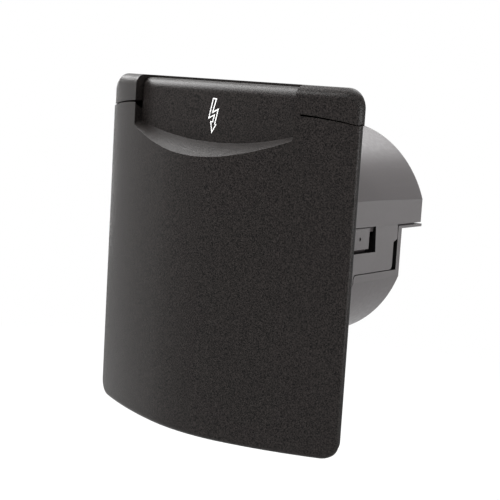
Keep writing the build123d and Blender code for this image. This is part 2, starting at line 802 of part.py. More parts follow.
# Openings in the side walls behind the straps, which leave the nubs free to spring
opening_low_z = strap_bottom_z - pocket_gap
opening_high_z = body_edge_z - side_bar_height
opening_rear_y = strap_rear_y + pocket_gap
with BuildPart() as side_opening:
    with BuildSketch(Plane.YZ.offset(inner_half_width - lip_play)) as opening_outline:
        with Locations(((nub_rear_y + opening_rear_y) / 2, (opening_low_z + opening_high_z) / 2)):
            Rectangle(opening_rear_y - nub_rear_y, opening_high_z - opening_low_z)
        with Locations((nub_middle_y, nub_bottom_z - nub_slot_height / 2)):
            Rectangle(nub_rear_y - nub_front_y, nub_slot_height)
    extrude(amount=far)
    mirror(about=Plane.YZ)

# Socket body: round well with its floor, and the front ring that is screwed to the frame
with BuildPart() as socket_body:
    with BuildSketch(from_behind(spigot_length)) as front_ring:
        Circle(barrel_r)
        Rectangle(2 * flat_half_width, 2 * barrel_r, mode=Mode.INTERSECT)
    extrude(amount=front_ring_thickness)
    with BuildSketch(from_behind(pad_front_y)) as well_tube:
        Circle(well_outer_r)
    extrude(amount=well_back_y - pad_front_y)
    with BuildSketch(from_behind(pad_front_y)) as well:
        Circle(well_r)
    extrude(amount=well_floor_y - pad_front_y, mode=Mode.SUBTRACT)
    with BuildSketch(from_behind(well_floor_y)) as floor_openings:
        Circle(floor_opening_r)
        with PolarLocations(collar_screw_circle_r, 4, start_angle=45):
            Circle(collar_screw_r + fit_gap)
    extrude(amount=well_floor_thickness, mode=Mode.SUBTRACT)
    with BuildSketch(from_behind(spigot_length)) as hooks:
        with PolarLocations(body_screw_circle_r, 2, start_angle=225, angular_range=90, endpoint=True):
            Rectangle(hook_thickness, hook_width)
    extrude(amount=-hook_depth)
    with BuildSketch(from_behind(spigot_length)) as body_screw_holes:
        with PolarLocations(body_screw_circle_r, 2, start_angle=45, angular_range=90, endpoint=True):
            Circle(body_screw_r + fit_gap)
    extrude(amount=front_ring_thickness, mode=Mode.SUBTRACT)
    with BuildSketch(from_behind(screw_head_seat_y)) as body_screw_seats:
        with PolarLocations(body_screw_circle_r, 2, start_angle=45, angular_range=90, endpoint=True):
            Circle(body_screw_head_r + fit_gap)
    extrude(amount=body_screw_head_height, mode=Mode.SUBTRACT)
socket_body.part.label = "socket_body"
export_step(socket_body.part, "parts/socket_body.step")

# Rear shell: lower half of the can, with strap pockets, nubs, screw bosses and the cable shelf
lip_outer_x = pocket_x - lip_play
cover_inner_y = cover_rear_y - shell_wall
with BuildPart() as rear_shell:
    revolve(barrel_profile(front_ring_rear_y, body_rear_y), axis=Axis.Y)
    barrel_sides(-barrel_r, body_edge_z)
    add(body_hollow.part, mode=Mode.SUBTRACT)
    with Locations((0, (body_rear_y + shelf_rear_y) / 2, body_edge_z - shelf_thickness / 2)):
        Box(2 * (flat_half_width - barrel_step), shelf_rear_y - body_rear_y, shelf_thickness)
    with BuildSketch(Plane.XY.offset(shelf_bottom_z)) as lip:
        with Locations((lip_outer_x - lip_thickness / 2, (front_ring_rear_y + cover_inner_y - lip_play) / 2)):
            Rectangle(lip_thickness, cover_inner_y - lip_play - front_ring_rear_y)
        with Locations(
            (
                (rear_rest_half_width + lip_outer_x) / 2,
                cover_inner_y - lip_play - lip_thickness / 2,
            )
        ):
            Rectangle(lip_outer_x - rear_rest_half_width, lip_thickness)
        mirror(about=Plane.YZ)
    extrude(amount=lip_top_z - shelf_bottom_z)
    add(strap_pocket.part, mode=Mode.SUBTRACT)
    add(side_opening.part, mode=Mode.SUBTRACT)
    add(nub.part)
    mirror(nub.part, about=Plane.YZ)
    with BuildSketch(Plane.XY.offset(body_edge_z)) as cover_rests:
        with Locations((flat_half_width - shell_wall / 2, (cover_front_y + pocket_front_y) / 2)):
            Rectangle(shell_wall, pocket_front_y - cover_front_y)
        with Locations((rear_rest_half_width / 2, cover_rear_y - shell_wall / 2)):
            Rectangle(rear_rest_half_width, shell_wall)
        mirror(about=Plane.YZ)
    extrude(amount=cover_edge_z - body_edge_z)
    with BuildSketch(from_behind(well_back_y)) as shell_bosses:
        with PolarLocations(collar_screw_circle_r, 2, start_angle=225, angular_range=90, endpoint=True):
            Circle(shell_boss_r)
    extrude(amount=body_rear_y - shell_wall - well_back_y)
    with BuildSketch(from_behind(well_back_y)) as shell_pilots:
        with PolarLocations(collar_screw_circle_r, 2, start_angle=225, angular_range=90, endpoint=True):
            Circle(collar_screw_r + fit_gap)
    extrude(amount=collar_screw_bite + fit_gap, mode=Mode.SUBTRACT)
    with BuildSketch(Plane.XY.offset(body_edge_z)) as clamp_posts:
        with Locations((clamp_post_x, clamp_post_y), (-clamp_post_x, clamp_post_y)):
            Circle(clamp_post_r)
    extrude(amount=clamp_post_height)
    with BuildSketch(Plane.XY.offset(clamp_bottom_z)) as clamp_pilots:
        with Locations((clamp_post_x, clamp_post_y), (-clamp_post_x, clamp_post_y)):
            Circle(clamp_screw_r + fit_gap)
    extrude(amount=-clamp_screw_bite - fit_gap, mode=Mode.SUBTRACT)
    with Locations((0, cable_y, body_edge_z)):
        Cylinder(grommet_neck_r + fit_gap, 2 * shelf_thickness, mode=Mode.SUBTRACT)
rear_shell.part.label = "rear_shell"
export_step(rear_shell.part, "parts/rear_shell.step")

# Terminal cover: upper rear shell with two straps that snap over the nubs
with BuildPart() as cover_hollow:
    revolve(barrel_profile(cover_front_y, cover_inner_y, shell_wall), axis=Axis.Y)
    with BuildSketch(from_behind(0)) as between_sides:
        Rectangle(2 * (flat_half_width - shell_wall), 2 * barrel_r)
    extrude(amount=far, mode=Mode.INTERSECT)
with BuildPart() as terminal_cover:
    revolve(barrel_profile(cover_front_y, cover_rear_y), axis=Axis.Y)
    barrel_sides(cover_edge_z, barrel_r)
    rear_rim = terminal_cover.faces().sort_by(Axis.Y)[-1].edges().sort_by(Axis.Z)[1:]
    fillet(rear_rim, radius=rear_edge_r)
    add(cover_hollow.part, mode=Mode.SUBTRACT)
    add(strap.part)
    mirror(strap.part, about=Plane.YZ)
    barrel_sides(-barrel_r, barrel_r)
    revolve(barrel_profile(cover_front_y, cover_rear_y), axis=Axis.Y, mode=Mode.INTERSECT)
terminal_cover.part.label = "terminal_cover"
export_step(terminal_cover.part, "parts/terminal_cover.step")

# Plug collar: base disc, tube with its key rib, and bosses for contacts and screws
with BuildPart() as plug_collar:
    with BuildSketch(from_behind(collar_base_y)) as collar_base:
        Circle(collar_base_r)
    extrude(amount=collar_base_thickness)
    with BuildSketch(from_behind(collar_front_y)) as collar_tube:
        Circle(collar_r + collar_wall)
    extrude(amount=collar_base_y - collar_front_y)
    chamfer(plug_collar.edges().sort_by(Axis.Y)[0], length=collar_rim_chamfer)
    with BuildSketch(from_behind(collar_front_y)) as collar_bore:
        Circle(collar_r)
    extrude(amount=collar_base_y - collar_front_y, mode=Mode.SUBTRACT)
    with BuildSketch(from_behind(collar_front_y + key_height)) as key:
        with Locations((0, -collar_r - (collar_wall + key_height) / 2)):
            Rectangle(key_width, collar_wall + key_height)
        Circle(collar_r + collar_wall / 2, mode=Mode.SUBTRACT)
    extrude(amount=collar_base_y - collar_front_y - key_height)
    with BuildSketch(at_y(collar_base_y)) as bosses:
        with Locations(live_place, neutral_place):
            Circle(line_pin_r + contact_boss_wall)
        with Locations(earth_place):
            Circle(earth_pin_r + contact_boss_wall)
        with PolarLocations(carrier_screw_circle_r, 3, start_angle=90):
            Circle(carrier_screw_r + contact_boss_wall)
    extrude(amount=contact_boss_height)
    with BuildSketch(at_y(well_floor_y)) as contact_holes:
        with Locations(live_place, neutral_place):
            Circle(line_pin_r + contact_shoulder + fit_gap)
        with Locations(earth_place):
            Circle(earth_pin_r + contact_shoulder + fit_gap)
    extrude(amount=collar_base_thickness + contact_boss_height, mode=Mode.SUBTRACT)
    with BuildSketch(at_y(well_floor_y)) as collar_screw_holes:
        with PolarLocations(collar_screw_circle_r, 4, start_angle=45):
            Circle(collar_screw_r + fit_gap)
    extrude(amount=collar_base_thickness, mode=Mode.SUBTRACT)
    with BuildSketch(at_y(well_floor_y)) as carrier_pilots:
        with PolarLocations(carrier_screw_circle_r, 3, start_angle=90):
            Circle(carrier_screw_r + fit_gap)
    extrude(amount=carrier_screw_bite + fit_gap, mode=Mode.SUBTRACT)
plug_collar.part.label = "plug_collar"
export_step(plug_collar.part, "parts/plug_collar.step")

# Contact carrier: insulating block behind the collar, with barriers between the terminals
with BuildPart() as contact_carrier:
    with BuildSketch(from_behind(well_floor_y)) as carrier_disc:
        Circle(carrier_r)
    extrude(amount=well_floor_thickness)
    with BuildSketch(from_behind(well_back_y)) as carrier_block:
        Circle(carrier_rear_r)
    extrude(amount=carrier_rear_y - well_back_y)
    with BuildSketch(from_behind(carrier_rear_y)) as barriers:
        with PolarLocations(barrier_inner_r + barrier_length / 2, 3, start_angle=90):
            Rectangle(barrier_length, barrier_thickness)
    extrude(amount=barrier_depth)
    with BuildSketch(at_y(carrier_rear_y)) as carrier_holes:
        with Locations(live_place, neutral_place, earth_place):
            Circle(contact_tail_r + fit_gap)
        with PolarLocations(carrier_screw_circle_r, 3, start_angle=90):
            Circle(carrier_screw_r + fit_gap)
    extrude(amount=carrier_rear_y - well_floor_y, mode=Mode.SUBTRACT)
    with BuildSketch(from_behind(well_floor_y)) as flange_seats:
        with Locations((-live_place[0], live_place[1]), (live_place[0], live_place[1])):
            Circle(line_pin_r + contact_flange_width + fit_gap)
        with Locations(earth_place):
            Circle(earth_pin_r + contact_flange_width + fit_gap)
    extrude(amount=contact_flange_thickness, mode=Mode.SUBTRACT)
contact_carrier.part.label = "contact_carrier"
export_step(contact_carrier.part, "parts/contact_carrier.step")

# Contacts: three round pins, each with a flange held between the collar and the carrier
with BuildPart() as earth_pin:
    revolve(contact_profile(earth_place, earth_pin_r), axis=Axis((earth_place[0], 0, earth_place[1]), (0, 1, 0)))
earth_pin.part.label = "earth_pin"
export_step(earth_pin.part, "parts/earth_pin.step")

with BuildPart() as live_pin:
    revolve(contact_profile(live_place, line_pin_r), axis=Axis((live_place[0], 0, live_place[1]), (0, 1, 0)))
live_pin.part.label = "live_pin"
export_step(live_pin.part, "parts/live_pin.step")

with BuildPart() as neutral_pin:
    revolve(
        contact_profile(neutral_place, line_pin_r),
        axis=Axis((neutral_place[0], 0, neutral_place[1]), (0, 1, 0)),
    )
neutral_pin.part.label = "neutral_pin"
export_step(neutral_pin.part, "parts/neutral_pin.step")

# Terminals: brass blocks on the contacts' tails
with BuildPart() as earth_terminal:
    clamp_block(earth_place)
earth_terminal.part.label = "earth_terminal"
export_step(earth_terminal.part, "parts/earth_terminal.step")

with BuildPart() as live_terminal:
    clamp_block(live_place)
live_terminal.part.label = "live_terminal"
export_step(live_terminal.part, "parts/live_terminal.step")

with BuildPart() as neutral_terminal:
    clamp_block(neutral_place)
neutral_terminal.part.label = "neutral_terminal"
export_step(neutral_terminal.part, "parts/neutral_terminal.step")

# Screws: one group for each place where they hold
with BuildPart() as terminal_screws:
    for place in (earth_place, live_place, neutral_place):
        slotted_screw(
            (place[0], terminal_screw_y, place[1] + terminal_height / 2),
            (0, 0, 1),
            terminal_screw_r,
            terminal_height / 2 - wire_hole_r,
            terminal_screw_head_r,
            terminal_screw_head_height,
        )
terminal_screws.part.label = "terminal_screws"
export_step(terminal_screws.part, "parts/terminal_screws.step")

body_screw_offset = body_screw_circle_r * cos(radians(45))
with BuildPart() as body_screws:
    for x in (-body_screw_offset, body_screw_offset):
        slotted_screw(
            (x, screw_head_seat_y, body_screw_offset),
            (0, 1, 0),
            body_screw_r,
            screw_head_seat_y - spigot_length + body_screw_depth,
            body_screw_head_r,
            body_screw_head_height,
        )
body_screws.part.label = "body_screws"
export_step(body_screws.part, "parts/body_screws.step")

collar_screw_offset = collar_screw_circle_r * cos(radians(45))
with BuildPart() as collar_screws:
    for x in (-collar_screw_offset, collar_screw_offset):
        for z, tip_y in ((-collar_screw_offset, well_back_y + collar_screw_bite), (collar_screw_offset, well_back_y)):
            slotted_screw(
                (x, collar_base_y, z),
                (0, -1, 0),
                collar_screw_r,
                tip_y - collar_base_y,
                collar_screw_head_r,
                collar_screw_head_height,
            )
collar_screws.part.label = "collar_screws"
export_step(collar_screws.part, "parts/collar_screws.step")

with BuildPart() as carrier_screws:
    for angle in (90, 210, 330):
        slotted_screw(
            (
                carrier_screw_circle_r * cos(radians(angle)),
                carrier_rear_y,
                carrier_screw_circle_r * sin(radians(angle)),
            ),
            (0, 1, 0),
            carrier_screw_r,
            carrier_rear_y - well_floor_y + carrier_screw_bite,
            carrier_screw_head_r,
            carrier_screw_head_height,
        )
carrier_screws.part.label = "carrier_screws"
export_step(carrier_screws.part, "parts/carrier_screws.step")

# Cable entry: rubber ring in the shelf, and the bar that grips the cable
grommet_top_z = body_edge_z + grommet_flange_thickness
grommet_low_z = shelf_bottom_z - grommet_flange_thickness
with BuildPart() as cable_grommet:
    with BuildSketch(Plane.XZ.offset(-cable_y)) as grommet_profile:
        with BuildLine():
            Polyline(
                (cable_r, grommet_top_z),
                (grommet_flange_r, grommet_top_z),
                (grommet_flange_r, body_edge_z),
                (grommet_neck_r, body_edge_z),
                (grommet_neck_r, shelf_bottom_z),
                (grommet_flange_r, shelf_bottom_z),
                (grommet_flange_r, grommet_low_z),
                (grommet_nose_tip_r, grommet_low_z - grommet_nose_length),
                (cable_r, grommet_low_z - grommet_nose_length),
                close=True,
            )
        make_face()
    revolve(axis=Axis((0, cable_y, 0), (0, 0, 1)))
cable_grommet.part.label = "cable_grommet"
export_step(cable_grommet.part, "parts/cable_grommet.step")

with BuildPart() as cable_clamp:
    with Locations((0, clamp_post_y, clamp_bottom_z + clamp_height / 2)):
        Box(2 * clamp_half_length, clamp_width, clamp_height)
    fillet(cable_clamp.edges().filter_by(Axis.Z), radius=clamp_width / 4)
    with Locations((0, clamp_post_y, clamp_bottom_z)):
        Cylinder(cable_r, clamp_width, rotation=(90, 0, 0), mode=Mode.SUBTRACT)
    with Locations(
        (clamp_post_x, clamp_post_y, clamp_bottom_z),
        (-clamp_post_x, clamp_post_y, clamp_bottom_z),
    ):
        Cylinder(clamp_screw_r + fit_gap, 2 * clamp_height, mode=Mode.SUBTRACT)
cable_clamp.part.label = "cable_clamp"
export_step(cable_clamp.part, "parts/cable_clamp.step")

with BuildPart() as cable_clamp_screws:
    for x in (-clamp_post_x, clamp_post_x):
        slotted_screw(
            (x, clamp_post_y, clamp_bottom_z + clamp_height),
            (0, 0, 1),
            clamp_screw_r,
            clamp_height + clamp_screw_bite,
            clamp_screw_head_r,
            clamp_screw_head_height,
        )
cable_clamp_screws.part.label = "cable_clamp_screws"
export_step(cable_clamp_screws.part, "parts/cable_clamp_screws.step")
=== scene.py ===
import json
from math import cos, pi, radians, sin

import bmesh
import bpy
from mathutils import Matrix, Vector

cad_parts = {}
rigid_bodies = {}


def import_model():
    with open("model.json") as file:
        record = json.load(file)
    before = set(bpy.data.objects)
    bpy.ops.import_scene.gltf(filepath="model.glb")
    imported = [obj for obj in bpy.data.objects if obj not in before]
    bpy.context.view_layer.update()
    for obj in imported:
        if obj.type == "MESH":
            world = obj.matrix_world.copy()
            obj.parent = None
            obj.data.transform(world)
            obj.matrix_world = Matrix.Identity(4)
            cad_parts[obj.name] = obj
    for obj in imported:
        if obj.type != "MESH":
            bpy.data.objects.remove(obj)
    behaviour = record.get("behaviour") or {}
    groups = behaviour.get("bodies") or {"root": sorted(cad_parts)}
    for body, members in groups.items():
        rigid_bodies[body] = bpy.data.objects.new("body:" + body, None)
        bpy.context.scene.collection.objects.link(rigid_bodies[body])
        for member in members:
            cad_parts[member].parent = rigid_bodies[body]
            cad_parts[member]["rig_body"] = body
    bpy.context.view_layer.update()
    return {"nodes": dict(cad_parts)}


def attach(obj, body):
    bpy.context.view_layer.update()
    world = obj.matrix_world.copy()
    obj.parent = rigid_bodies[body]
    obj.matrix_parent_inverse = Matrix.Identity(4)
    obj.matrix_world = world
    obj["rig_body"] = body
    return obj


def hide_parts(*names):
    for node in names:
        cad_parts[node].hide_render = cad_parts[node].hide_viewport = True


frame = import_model()


# Mounting frame: the fixed front plate of black plastic with two ears and a round spigot.
# It is injection moulded in one piece, with a fine etched grain on every outer face.
MM = 0.001
FRAME_EDGE = 0.4 * MM
FRAME_COLOUR = (0.0115, 0.0097, 0.0091)
GRAIN_OCTAVES = 3
GRAIN_HARSHNESS = 0.6
TONE_LOW = 0.35
TONE_HIGH = 0.65
DULL_LOW = 0.3
DULL_HIGH = 0.7
DULL_SWING = 0.06
SHARP_ANGLE = radians(25)
FLAT_ANGLE = radians(0.5)
MERGE_DISTANCE = 0.002 * MM


def link_nodes(tree, start, start_socket, end, end_socket):
    """Join an output of one node to an input of another."""
    tree.links.new(start.outputs[start_socket], end.inputs[end_socket])


def moulded_piece(node, edge, material, sharp=SHARP_ANGLE, segments=2):
    """Merged copy of a node with rounded edges, which stands for that node."""
    source = frame["nodes"][node]
    shape = bmesh.new()
    shape.from_mesh(source.data)
    bmesh.ops.remove_doubles(shape, verts=shape.verts, dist=MERGE_DISTANCE)
    bmesh.ops.dissolve_limit(shape, angle_limit=FLAT_ANGLE, verts=shape.verts, edges=shape.edges)
    for face in shape.faces:
        face.smooth = True
    for line in shape.edges:
        line.smooth = len(line.link_faces) == 2 and line.calc_face_angle() < sharp
    mesh = bpy.data.meshes.new(node + "_moulding")
    shape.to_mesh(mesh)
    shape.free()
    mesh.materials.append(material)
    piece = bpy.data.objects.new(node + "_moulding", mesh)
    bpy.context.scene.collection.objects.link(piece)
    if edge > 0:
        rounding = piece.modifiers.new("edge_rounding", "BEVEL")
        rounding.width = edge
        rounding.segments = segments
        rounding.limit_method = "ANGLE"
        rounding.angle_limit = sharp
        rounding.harden_normals = True
    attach(piece, source["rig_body"])
    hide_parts(node)
    return piece


def plastic(name, colour, roughness, shine, cell, depth, speckle):
    """Moulded plastic with a grain of the given cell size and depth, which speckles its tone."""
    material = bpy.data.materials.new(name)
    material.use_nodes = True
    tree = material.node_tree
    shader = tree.nodes["Principled BSDF"]
    shader.inputs["Specular IOR Level"].default_value = shine
    place = tree.nodes.new("ShaderNodeTexCoord")

    grain = tree.nodes.new("ShaderNodeTexNoise")
    grain.inputs["Scale"].default_value = 1 / cell
    grain.inputs["Detail"].default_value = GRAIN_OCTAVES
    grain.inputs["Roughness"].default_value = GRAIN_HARSHNESS
    link_nodes(tree, place, "Object", grain, "Vector")

    bump = tree.nodes.new("ShaderNodeBump")
    bump.inputs["Distance"].default_value = depth
    link_nodes(tree, grain, "Fac", bump, "Height")
    link_nodes(tree, bump, "Normal", shader, "Normal")

    tone = tree.nodes.new("ShaderNodeMapRange")
    tone.inputs["From Min"].default_value = TONE_LOW
    tone.inputs["From Max"].default_value = TONE_HIGH
    tone.inputs["To Min"].default_value = 1 - speckle
    tone.inputs["To Max"].default_value = 1 + speckle
    link_nodes(tree, grain, "Fac", tone, "Value")

    tint = tree.nodes.new("ShaderNodeVectorMath")
    tint.operation = "SCALE"
    tint.inputs[0].default_value = colour
    link_nodes(tree, tone, "Result", tint, "Scale")
    link_nodes(tree, tint, "Vector", shader, "Base Color")

    dullness = tree.nodes.new("ShaderNodeMapRange")
    dullness.inputs["From Min"].default_value = DULL_LOW
    dullness.inputs["From Max"].default_value = DULL_HIGH
    dullness.inputs["To Min"].default_value = roughness - DULL_SWING
    dullness.inputs["To Max"].default_value = roughness + DULL_SWING
    link_nodes(tree, grain, "Fac", dullness, "Value")
    link_nodes(tree, dullness, "Result", shader, "Roughness")
    return material


grained_black = plastic(
    "grained_black",
    FRAME_COLOUR,
    roughness=0.36,
    shine=0.12,
    cell=0.5 * MM,
    depth=0.09 * MM,
    speckle=1.0,
)
moulded_piece("mounting_frame", FRAME_EDGE, grained_black)


# Wall gasket: a flat frame of black foam rubber between the flange and the wall.
# It is die cut from sheet, so its edges are square and its pores show.
GASKET_COLOUR = (0.012, 0.012, 0.012)
foam_rubber = plastic(
    "foam_rubber",
    GASKET_COLOUR,
    roughness=0.85,
    shine=0.3,
    cell=0.5 * MM,
    depth=0.08 * MM,
    speckle=0.3,
)
moulded_piece("wall_gasket", 0, foam_rubber)


# Lid: one bowed shell of the same grained black plastic, with a finger recess at the top.
# The ledge of the recess is the bright crescent, and the tab above turns on the hinge pin.
LID_EDGE = 0.7 * MM
moulded_piece("lid", LID_EDGE, grained_black, segments=3)


# Bolt sign on the lid: a thin white outline that is pad printed on the floor of the recess.
# It is a common sign for electricity and is a few hundredths of a millimetre thick.
SIGN_Y = -11.4 * MM
SIGN_LINE = 0.42 * MM
SIGN_THICKNESS = 0.05 * MM
INK_COLOUR = (0.88, 0.88, 0.87)
SIGN_CORNERS = (
    (-0.55, 51.6),
    (1.4, 51.5),
    (-0.1, 46.6),
    (2.55, 47.9),
    (1.1, 42.1),
    (1.75, 41.8),
    (-0.5, 38.3),
    (-1.35, 42.95),
    (-0.3, 42.9),
    (0.25, 44.95),
    (-2.5, 43.6),
)
sign = bmesh.new()
corners = [sign.verts.new((x * MM, SIGN_Y - SIGN_THICKNESS, z * MM)) for x, z in SIGN_CORNERS]
outline = sign.faces.new(corners)
outline.normal_update()
bmesh.ops.inset_region(
    sign, faces=[outline], thickness=SIGN_LINE, use_boundary=True, use_even_offset=True
)
bmesh.ops.delete(sign, geom=[outline], context="FACES_ONLY")
bmesh.ops.recalc_face_normals(sign, faces=sign.faces)
sign_mesh = bpy.data.meshes.new("bolt_sign")
sign.to_mesh(sign_mesh)
sign.free()
bolt_sign = bpy.data.objects.new("bolt_sign", sign_mesh)
bpy.context.scene.collection.objects.link(bolt_sign)
ink_body = bolt_sign.modifiers.new("ink_thickness", "SOLIDIFY")
ink_body.thickness = SIGN_THICKNESS
ink_body.offset = 0
white_ink = plastic(
    "white_ink",
    INK_COLOUR,
    roughness=0.6,
    shine=0.4,
    cell=0.3 * MM,
    depth=0.004 * MM,
    speckle=0.05,
)
sign_mesh.materials.append(white_ink)
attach(bolt_sign, "lid")


# Lid seal: a soft black rubber ring under the lid that meets the frame's pad.
# It is moulded, smooth and slightly dusty.
SEAL_EDGE = 0.3 * MM
SEAL_COLOUR = (0.015, 0.015, 0.0155)
soft_rubber = plastic(
    "soft_rubber",
    SEAL_COLOUR,
    roughness=0.7,
    shine=0.3,
    cell=0.8 * MM,
    depth=0.01 * MM,
    speckle=0.15,
)
moulded_piece("lid_seal", SEAL_EDGE, soft_rubber)


# Hinge pin and closing spring: drawn stainless wire, the pin straight and the spring coiled.
# The drawing marks run along the wire, and the spring is a little darker.
MARK_DENSITY = 900
MARK_OCTAVES = 3
MARK_DEPTH = 0.004 * MM
MARK_SHADE = 0.8
POLISH_GAIN = 0.1
POLISH_LOSS = 0.15


def metal(name, colour, roughness, stretch):
    """Drawn or turned metal with fine marks, drawn out along the axes by stretch."""
    material = bpy.data.materials.new(name)
    material.use_nodes = True
    tree = material.node_tree
    shader = tree.nodes["Principled BSDF"]
    shader.inputs["Metallic"].default_value = 1.0
    place = tree.nodes.new("ShaderNodeTexCoord")
    mapping = tree.nodes.new("ShaderNodeMapping")
    mapping.inputs["Scale"].default_value = stretch
    link_nodes(tree, place, "Object", mapping, "Vector")
    marks = tree.nodes.new("ShaderNodeTexNoise")
    marks.inputs["Scale"].default_value = MARK_DENSITY
    marks.inputs["Detail"].default_value = MARK_OCTAVES
    link_nodes(tree, mapping, "Vector", marks, "Vector")

    polish = tree.nodes.new("ShaderNodeMapRange")
    polish.inputs["To Min"].default_value = roughness - POLISH_GAIN
    polish.inputs["To Max"].default_value = roughness + POLISH_LOSS
    link_nodes(tree, marks, "Fac", polish, "Value")
    link_nodes(tree, polish, "Result", shader, "Roughness")

    ramp = tree.nodes.new("ShaderNodeValToRGB")
    ramp.color_ramp.elements[0].color = [MARK_SHADE * part for part in colour] + [1.0]
    ramp.color_ramp.elements[1].color = [*colour, 1.0]
    link_nodes(tree, marks, "Fac", ramp, "Fac")
    link_nodes(tree, ramp, "Color", shader, "Base Color")

    bump = tree.nodes.new("ShaderNodeBump")
    bump.inputs["Distance"].default_value = MARK_DEPTH
    link_nodes(tree, marks, "Fac", bump, "Height")
    link_nodes(tree, bump, "Normal", shader, "Normal")
    return material


drawn_steel = metal("drawn_steel", (0.62, 0.62, 0.61), roughness=0.3, stretch=(0.1, 1.0, 1.0))
spring_wire = metal("spring_wire", (0.42, 0.42, 0.43), roughness=0.35, stretch=(1.0, 1.0, 1.0))
moulded_piece("hinge_pin", 0, drawn_steel)
moulded_piece("lid_spring", 0, spring_wire)


# Socket body, rear shell and terminal cover: the dark grey housing behind the wall.
# They are moulded in smoother plastic, and the cover's straps snap over nubs on the shell.
# The walls of the gaps in their sides are dull and dark: a painted shade that stands in for the
# shadow that falls in the gaps.
HOUSING_EDGE = 0.3 * MM
HOUSING_COLOUR = (0.053, 0.047, 0.048)
HOUSING_CREASE = radians(16)
# Colour of the painted shade on the gap walls, and the box and facing of the faces that get it.
GAP_SHADE_COLOUR = (0.006, 0.006, 0.006)
GAP_REACH = 36 * MM
GAP_FRONT = 20 * MM
GAP_REAR = 60 * MM
GAP_HEIGHT = 14 * MM
GAP_FACING = 0.9
smooth_grey = plastic(
    "smooth_grey",
    HOUSING_COLOUR,
    roughness=0.38,
    shine=0.4,
    cell=1.6 * MM,
    depth=0.012 * MM,
    speckle=0.06,
)
moulded_piece("socket_body", HOUSING_EDGE, smooth_grey, HOUSING_CREASE)
lower_shell = moulded_piece(
    "rear_shell", HOUSING_EDGE, smooth_grey, HOUSING_CREASE
)
upper_cover = moulded_piece(
    "terminal_cover", HOUSING_EDGE, smooth_grey, HOUSING_CREASE
)
# Painted shade: this near-black dull material stands in for the shadow in the side gaps, not for
# a colour of the plastic.
painted_gap_shade = plastic(
    "painted_gap_shade",
    GAP_SHADE_COLOUR,
    roughness=0.8,
    shine=0.1,
    cell=1.6 * MM,
    depth=0.012 * MM,
    speckle=0.2,
)
# Gap wall faces that face forward, up or down get the painted shade material.
for shell in (lower_shell, upper_cover):
    shell.data.materials.append(painted_gap_shade)
    for face in shell.data.polygons:
        in_side = abs(face.center.x) > GAP_REACH and abs(face.center.z) < GAP_HEIGHT
        in_length = GAP_FRONT < face.center.y < GAP_REAR
        is_wall = face.normal.y < -GAP_FACING or abs(face.normal.z) > GAP_FACING
        if in_side and in_length and is_wall:
            face.material_index = 1


# Plug collar: the blue tube that guides the supply connector, screwed to the well's floor.
# It is moulded, with a key rib at the bottom and a chamfered rim.
COLLAR_EDGE = 0.3 * MM
COLLAR_COLOUR = (0.02, 0.11, 0.4)
collar_blue = plastic(
    "collar_blue",
    COLLAR_COLOUR,
    roughness=0.4,
    shine=0.5,
    cell=1.2 * MM,
    depth=0.01 * MM,
    speckle=0.08,
)
moulded_piece("plug_collar", COLLAR_EDGE, collar_blue)


# Contact carrier and cable clamp: hard black insulating plastic.
# The carrier holds the contacts from behind, and the clamp grips the cable.
CARRIER_EDGE = 0.25 * MM
CLAMP_EDGE = 0.3 * MM
CARRIER_COLOUR = (0.03, 0.03, 0.031)
hard_black = plastic(
    "hard_black",
    CARRIER_COLOUR,
    roughness=0.45,
    shine=0.4,
    cell=1.0 * MM,
    depth=0.012 * MM,
    speckle=0.1,
)
moulded_piece("contact_carrier", CARRIER_EDGE, hard_black)
moulded_piece("cable_clamp", CLAMP_EDGE, hard_black)


# Contacts and terminals: turned and milled brass, bright where the socket slides.
# Turning marks run round each pin, and the blocks show milling marks.
CONTACT_EDGE = 0.2 * MM
turned_brass = metal("turned_brass", (0.78, 0.6, 0.3), roughness=0.25, stretch=(0.15, 1.0, 0.15))
milled_brass = metal("milled_brass", (0.72, 0.56, 0.28), roughness=0.35, stretch=(0.2, 1.0, 1.0))
for contact in ("earth_pin", "live_pin", "neutral_pin"):
    moulded_piece(contact, CONTACT_EDGE, turned_brass)
for terminal in ("earth_terminal", "live_terminal", "neutral_terminal"):
    moulded_piece(terminal, CONTACT_EDGE, milled_brass)


# Screws: zinc-plated steel with slotted heads, in five groups for five places.
# The plating is slightly uneven.
SCREW_EDGE = 0.15 * MM
zinc_plate = metal("zinc_plate", (0.6, 0.6, 0.58), roughness=0.32, stretch=(0.6, 0.6, 0.6))
for group in (
    "terminal_screws",
    "body_screws",
    "collar_screws",
    "carrier_screws",
    "cable_clamp_screws",
):
    moulded_piece(group, SCREW_EDGE, zinc_plate)


# Cable grommet: a black rubber ring with a tapered nose that closes round the cable.
# It is pressed into the rear shelf, and its surface is dull.
GROMMET_EDGE = 0.25 * MM
moulded_piece("cable_grommet", GROMMET_EDGE, soft_rubber)


# Camera: the photograph is taken from the front, 39 degrees to the right and 8 degrees up.
# The frame is square, and the camera is turned slightly about its own line of sight.
CAMERA_AZIMUTH = radians(39.052)
CAMERA_ELEVATION = radians(8.102)
CAMERA_ROLL = radians(3.499)
CAMERA_DISTANCE = 464.5 * MM
CAMERA_TARGET = Vector((13.49, -1.66, -4.34)) * MM
CAMERA_LENS = 88.85
CAMERA_SENSOR = 36
CAMERA_NEAR = 0.01
back = Vector(
    (
        sin(CAMERA_AZIMUTH) * cos(CAMERA_ELEVATION),
        -cos(CAMERA_AZIMUTH) * cos(CAMERA_ELEVATION),
        sin(CAMERA_ELEVATION),
    )
)
level_right = (-back).cross(Vector((0, 0, 1))).normalized()
level_up = level_right.cross(-back)
right = cos(CAMERA_ROLL) * level_right + sin(CAMERA_ROLL) * level_up
up = -sin(CAMERA_ROLL) * level_right + cos(CAMERA_ROLL) * level_up
camera_data = bpy.data.cameras.new("camera")
camera_data.lens = CAMERA_LENS
camera_data.sensor_width = CAMERA_SENSOR
